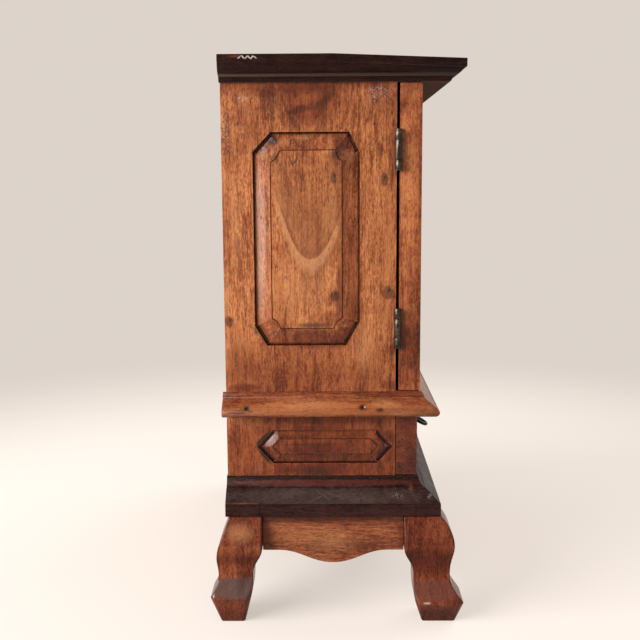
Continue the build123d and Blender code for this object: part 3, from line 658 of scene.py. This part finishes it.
LEFT_BASE = (
    stain(BAND_RED, 0.85, (8, 86.2), (80, 2.3), edge=0.6, ragged=0.3),
    stain(NEAR_BLACK, 0.70, (8, 90.2), (80, 1.8), edge=0.5, ragged=0.3),
    stain(ASH, 0.40, (10, 79.5), (90, 6.5), edge=0.4, ragged=0.9),
    stain(ASH, 0.45, (30, 81), (16, 3), lean=-8, edge=0.0, ragged=2.0),
    stain(ASH, 0.45, (-12, 79), (20, 3), lean=6, edge=0.0, ragged=2.0),
    stain(ASH, 0.80, (8, 80.0), (9, 0.5), lean=28, edge=0.3, ragged=0.6),
    stain(ASH, 0.80, (2, 80.5), (9, 0.5), lean=14, edge=0.3, ragged=0.6),
    stain(ASH, 0.70, (12, 79.0), (8, 0.5), lean=-20, edge=0.3, ragged=0.6),
    stain(APRON, 0.30, (-48, 83.5), (2.0, 2.6), edge=0.1, ragged=2.4),
    stain(CHALK_AND_GLINT, 0.45, (-60, 79.6), (3.0, 2.0), edge=0.1, fine=0.8),
    stain(CHALK_AND_GLINT, 0.30, (-39, 80), (6, 2.4), edge=0.1, fine=0.8),
    stain(BODY_RED, 0.55, (60, 76.0), (16, 0.9), edge=0.2, ragged=1.2),
)
BACK_LEG = (
    # Painted highlight across the knee
    stain(HONEY, 0.40, (62, 58), (14, 9), edge=0.0),
    shade(0.75, (60, 42), (34, 8)),
    stain(ASH, 0.80, (63, 23), (30, 7.5), edge=0.5, ragged=0.4),
    shade(0.60, (60, 27), (5, 12), lean=12),
    stain(CHALK_AND_GLINT, 0.60, (78.2, 19.5), (2.4, 1.9), edge=0.1, fine=1.4),
    shade(0.60, (63, 4), (30, 9)),
)
FRONT_LEG = (
    shade(1.00, (-60, 40), (34, 17), edge=0.3),
    stain(PLUM, 0.55, (-60, 21), (30, 8), edge=0.5, ragged=0.4),
    stain(CHALK_AND_GLINT, 0.75, (-57, 14.2), (3.2, 0.9), edge=0.2, ragged=1.0),
    shade(0.95, (-60, 5), (30, 10), edge=0.3),
)
LEFT_APRON = (
    shade(0.90, (48, 55), (12, 20), edge=0.2),
    shade(1.00, (0, 67), (70, 7.5), edge=0.3),
    shade(0.70, (0, 66), (70, 5), edge=0.3),
    shade(0.25, (0, 54), (80, 24), edge=0.5),
    shade(0.80, (-44, 55), (9, 20), edge=0.2),
    stain(HONEY, 0.30, (4, 50), (26, 9), edge=0.0, ragged=0.8),
)


def paint(material, *names):
    """Gives the nodes one material."""
    for name in names:
        slots = NODES[name].data.materials
        slots.clear()
        slots.append(material)


def paint_wood(node, *board, **settings):
    """Gives one node a wood of its own."""
    paint(wood(node + "_wood", *board, **settings), node)


def dress_materials():
    """Returns the two metals of the small pieces."""
    figured = dict(heart=(0.0185, 85.0, 0.45), figure=arch)
    paint_wood("left_side", BODY, "x", "z", 0.0, stains=LEFT_SIDE, **figured)
    paint_wood("right_side", BODY, "x", "z", 0.37)
    paint_wood("left_door", BODY, "y", "z", 0.21, (-0.07, 60, 0), stains=LEFT_DOOR)
    paint_wood("right_door", BODY, "y", "z", 0.83, (0.05, 60, 0.2))
    paint_wood("left_waist", BODY_RED, "x", "y", 0.11, stains=LEFT_WAIST)
    paint_wood("right_waist", BODY_RED, "x", "y", 0.64)
    for side, shift in (("left", 0.3), ("right", 0.9)):
        back, front, apron = (BACK_LEG, FRONT_LEG, LEFT_APRON) if side == "left" else ((), (), ())
        paint_wood(side + "_back_leg", STAND, "x", "z", shift, shine=0.2, stains=back)
        paint_wood(side + "_front_leg", STAND, "x", "z", shift + 0.2, shine=0.2, stains=front)
        paint_wood(side + "_apron", APRON, "x", "y", shift + 0.5, stains=apron)
    paint_wood("waist_front", BODY_RED, "y", "x", 0.4, shine=0.2)
    paint_wood("drawer_front", BODY_RED, "y", "x", 0.5, stains=DRAWER_END)
    for end, shift in (("front", 0.6), ("back", 0.7)):
        paint_wood(end + "_apron", APRON, "y", "x", shift)
    aged = dict(contrast=1.2, worn=0.3, worn_colour=WORN_DARK, shine=0.12)
    top = dict(gloss=0.48, scratched=0.10, raw_below=RAW, stains=LEFT_TOP)
    paint(wood("top_wood", DARK, "z", "y", 0.5, **top, **aged), "top_board")
    base = dict(gloss=0.60, scratched=0.45, stains=LEFT_BASE)
    paint(wood("base_wood", DARK, "z", "y", 0.6, **base, **aged), "base_board")
    rails = wood("frame_wood", DARK, "x", "y", 0.7, gloss=0.55, scratched=0.15, **aged)
    paint(rails, *(f"frame_{place}_rail" for place in ("front", "back", "left", "right")))
    inner = wood("inner_wood", INNER, "y", "x", 0.8, gloss=0.6, contrast=0.6)
    paint(inner, "back_panel", "shelf", "waist_board")
    paint(inner, "drawer_back", "drawer_bottom", "left_drawer_side", "right_drawer_side")

    hinge = steel("hinge_steel")
    pull = iron("pull_iron")
    for side in ("left", "right"):
        paint(hinge, side + "_hinge_pins")
        for level in ("lower", "upper"):
            paint(hinge, f"{side}_{level}_case_leaf", f"{side}_{level}_door_leaf")
        for place in ("door", "drawer"):
            paint(pull, *(f"{side}_{place}_pull_{piece}" for piece in ("rose", "eye", "ring")))
    return pull, steel("screw_steel", SCREW_WORN)


# ------------------------------------------------------------------ screws and nails
HEAD_POINTS = 28             # lengths from here on are in millimetres
HEAD_ROOT = 0.2              # under the face that it stands on
SCREW_R = 1.65
SCREW_RIM = 0.35             # of dark iron round the head: painted shadow of the gap, with dirt
SCREW_SLOT = 0.6
SCREW_PROUD = 0.08           # the two leaves of a closed hinge are 0.2 mm apart
SCREW_UP = 8.0               # from the middle of a leaf
SCREW_OUT = 1.6              # from the middle of a leaf, away from the pin
SCREW_STAGGER = 0.9
RIM_PROUD = 0.01
RIM_UNEVEN = 0.03            # as part of the radius
NAIL_R = 1.1
NAIL_PROUD = 0.15
NAIL_UNEVEN = 0.06
NAIL_LEAN = (0.58, 0.81)     # outwards and up, square to the waist's slope
NAILS = ((130.1, 57.0, 137.2), (129.4, -16.4, 137.7))    # x on the right side, y and z
LEAF_THICK = 0.9


def circle(radius, start=0.0, end=2 * math.pi, uneven=0.0):
    points = []
    for i in range(HEAD_POINTS):
        turn = start + (end - start) * i / (HEAD_POINTS - 1)
        r = radius * (1 + uneven * math.sin(3 * turn + 1) + uneven * math.sin(5 * turn))
        points.append((r * math.cos(turn), r * math.sin(turn)))
    return points


class Heads:
    """Small flat heads on one face, all of one mesh; centres are in millimetres."""

    def __init__(self, out):
        self.out = Vector(out).normalized()
        self.verts, self.faces, self.kinds = [], [], []

    def land(self, centre, spin, outline, high, kind):
        """A flat-topped island over a closed outline, rooted under the face."""
        u_axis = Matrix.Rotation(spin, 3, self.out) @ self.out.orthogonal().normalized()
        v_axis = self.out.cross(u_axis)
        first, count = len(self.verts), len(outline)
        for w in (-HEAD_ROOT, high):
            for u, v in outline:
                self.verts.append((Vector(centre) + u_axis * u + v_axis * v + self.out * w) * MM)
        self.faces.append([first + count + i for i in range(count)])
        for i in range(count):
            j = (i + 1) % count
            self.faces.append([first + i, first + j, first + count + j, first + count + i])
        self.kinds.extend([kind] * (count + 1))

    def screw(self, centre, spin):
        slope = math.asin(SCREW_SLOT / 2 / SCREW_R)
        # A dark iron rim round the head: painted shadow of its gap
        self.land(centre, spin, circle(SCREW_R + SCREW_RIM, uneven=RIM_UNEVEN)[:-1], RIM_PROUD, 0)
        for half in (0, math.pi):
            self.land(centre, spin, circle(SCREW_R, half + slope, half + math.pi - slope), SCREW_PROUD, 1)

    def nail(self, centre, spin):
        self.land(centre, spin, circle(NAIL_R, uneven=NAIL_UNEVEN)[:-1], NAIL_PROUD, 0)

    def make(self, name, body, slot, *materials):
        mesh = bpy.data.meshes.new(name)
        mesh.from_pydata(self.verts, [], self.faces)
        for material in materials:
            mesh.materials.append(material)
        for face, kind in zip(mesh.polygons, self.kinds):
            face.material_index = kind
        piece = bpy.data.objects.new(name, mesh)
        bpy.context.scene.collection.objects.link(piece)
        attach(piece, body)


def bare_face(side, part):
    """y in millimetres of the face of a closed hinge's leaf that looks at the other leaf."""
    if part == "case":
        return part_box(side + "_side")[0][1] / MM - LEAF_THICK
    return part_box(side + "_door")[1][1] / MM + LEAF_THICK


def make_heads(dirt_and_shade, head):
    """Two screws in every leaf of the hinges, and nails in the slope of the waist."""
    for side, sign in (("left", -1), ("right", 1)):
        for level in ("lower", "upper"):
            for part, body, out in (("case", "cabinet", -1), ("door", "door_" + side, 1)):
                low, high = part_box(f"{side}_{level}_{part}_leaf")
                x = (low[0] + high[0]) / 2 / MM - sign * SCREW_OUT
                z = (low[2] + high[2]) / 2 / MM
                y = bare_face(side, part)
                screws = Heads((0, out, 0))
                for up in (-1, 1):
                    # No two slots of a hinge stand alike
                    spin = 0.9 * up + sign + out
                    screws.screw((x + up * SCREW_STAGGER, y, z + up * SCREW_UP), spin)
                screws.make(f"{side}_{level}_{part}_screws", body, "hinge_metal", dirt_and_shade, head)
        nails = Heads((sign * NAIL_LEAN[0], 0, NAIL_LEAN[1]))
        for i, (x, y, z) in enumerate(NAILS):
            nails.nail((sign * x, y, z), i)
        nails.make(side + "_waist_nails", "cabinet", "black_iron", dirt_and_shade)


# ------------------------------------------------------------------ softened edges
WELD_REACH = 0.001           # lengths in millimetres
WOOD_EDGE = 0.35
METAL_EDGE = 0.12
LEG_VOXEL = 0.6
FLAT_ANGLE = math.radians(0.4)   # faces that meet flatter than this become one
EDGE_ANGLE = math.radians(35)    # edges sharper than this are softened
LEG_SMOOTHING = 0.5
LEG_PASSES = 5


def soften(name, width):
    """Takes the sharpness off a node's edges."""
    node = NODES[name]
    weld = node.modifiers.new("weld", "WELD")
    weld.merge_threshold = WELD_REACH * MM
    flat = node.modifiers.new("flat", "DECIMATE")
    flat.decimate_type = "DISSOLVE"
    flat.angle_limit = FLAT_ANGLE
    edge = node.modifiers.new("edge", "BEVEL")
    edge.width = width
    edge.segments = 2
    edge.limit_method = "ANGLE"
    edge.angle_limit = EDGE_ANGLE
    edge.harden_normals = True


def round_off(name):
    """Takes a hand-cut leg's arrises off."""
    node = NODES[name]
    mesh = node.modifiers.new("mesh", "REMESH")
    mesh.mode = "VOXEL"
    mesh.voxel_size = LEG_VOXEL * MM
    mesh.use_smooth_shade = True
    smooth = node.modifiers.new("smooth", "SMOOTH")
    smooth.factor = LEG_SMOOTHING
    smooth.iterations = LEG_PASSES


# ------------------------------------------------------------------ stage
PALE = (0.72, 0.65, 0.59)
AMBIENT = 0.40
FLOOR_COLOUR = (0.47, 0.425, 0.39)
FLOOR_PALER = 1.03               # the paper's paler clouds, against its own colour
FLOOR_REACH = 8.0
FLOOR_RELIEF = 0.1               # millimetres
FLOOR_NEAR = 0.30                # metres from the middle of the cabinet
FLOOR_FAR = 0.80
KEY_POWER = 38.0
LAMP_WIDTH = 1.30                # both lamps
LAMP_HEIGHT = 0.80
LAMP_DISTANCE = 1.55
KEY_TURN = math.radians(58)      # from the left side towards the back of the case
KEY_RISE = math.radians(17)
FILL_POWER = 11.0
FILL_TURN = math.radians(-125)   # from beyond the doors, clear of the left side
FILL_RISE = math.radians(30)


def seen_directly(graph):
    """1 for the camera, mirror-like and transmitted rays."""
    path = graph.add("LightPath").outputs
    seen = graph.math("MAXIMUM", path["Is Camera Ray"], path["Is Glossy Ray"])
    return graph.math("MAXIMUM", seen, path["Is Transmission Ray"])


def make_world():
    world = bpy.data.worlds.new("studio")
    bpy.context.scene.world = world
    world.use_nodes = True
    g = Graph(world.node_tree)
    light = g.add("Background", {"Color": (1, 1, 1, 1), "Strength": AMBIENT}).outputs[0]
    backdrop = g.add("Background", {"Color": (*PALE, 1), "Strength": 1.0}).outputs[0]
    both = g.add("MixShader", {0: seen_directly(g), 1: light, 2: backdrop}).outputs[0]
    g.add("OutputWorld", {"Surface": both})


def make_floor():
    mesh = bpy.data.meshes.new("floor")
    r = FLOOR_REACH
    mesh.from_pydata([(-r, -r, 0), (r, -r, 0), (r, r, 0), (-r, r, 0)], [], [(0, 1, 2, 3)])
    floor = bpy.data.objects.new("floor", mesh)
    bpy.context.scene.collection.objects.link(floor)
    material, g = new_material("floor_paper")
    spot = g.add("TexCoord").outputs["Object"]
    fibre = g.noise(spot, 300, 3, 0.6)
    normal = g.bump(fibre, FLOOR_RELIEF * MM, 0.2)
    paler = tuple(c * FLOOR_PALER for c in FLOOR_COLOUR)
    colour = g.mix(g.noise(spot, 3, 2, 0.5), FLOOR_COLOUR, paler)
    matt = g.add("BsdfDiffuse", {"Color": colour, "Normal": normal}).outputs[0]
    # What the floor lacks of the backdrop's paleness where only the ambient light falls
    lack = tuple(p - c * AMBIENT for p, c in zip(PALE, FLOOR_COLOUR))
    glow = g.add("Emission", {"Color": (*lack, 1), "Strength": seen_directly(g)}).outputs[0]
    near = g.add("AddShader", {0: matt, 1: glow}).outputs[0]
    # Away from the cabinet the floor runs over into the backdrop
    far = g.add("Emission", {"Color": (*PALE, 1), "Strength": seen_directly(g)}).outputs[0]
    away = g.fade(g.vector("LENGTH", spot), FLOOR_NEAR, FLOOR_FAR)
    both = g.add("MixShader", {0: away, 1: near, 2: far}).outputs[0]
    g.add("OutputMaterial", {"Surface": both})
    mesh.materials.append(material)


def make_light(name, power, turn, rise):
    lamp = bpy.data.lights.new(name, "AREA")
    lamp.shape = "RECTANGLE"
    lamp.size = LAMP_WIDTH
    lamp.size_y = LAMP_HEIGHT
    lamp.energy = power
    light = bpy.data.objects.new(name, lamp)
    aim = (cad_box[0] + cad_box[1]) / 2
    out = Vector((-math.cos(turn) * math.cos(rise), math.sin(turn) * math.cos(rise), math.sin(rise)))
    light.location = aim + out * LAMP_DISTANCE
    light.rotation_euler = (-out).to_track_quat("-Z", "Y").to_euler()
    bpy.context.scene.collection.objects.link(light)


# ------------------------------------------------------------------ build
make_camera()
make_world()
make_floor()
make_light("key", KEY_POWER, KEY_TURN, KEY_RISE)
make_light("fill", FILL_POWER, FILL_TURN, FILL_RISE)
make_heads(*dress_materials())
for name in NODES:
    if name.endswith("_leg"):
        round_off(name)
    elif name.endswith(("_leaf", "_pins")):
        soften(name, METAL_EDGE * MM)
    elif not name.endswith(("_ring", "_eye")):
        soften(name, WOOD_EDGE * MM)

bpy.context.scene.view_settings.view_transform = "Standard"
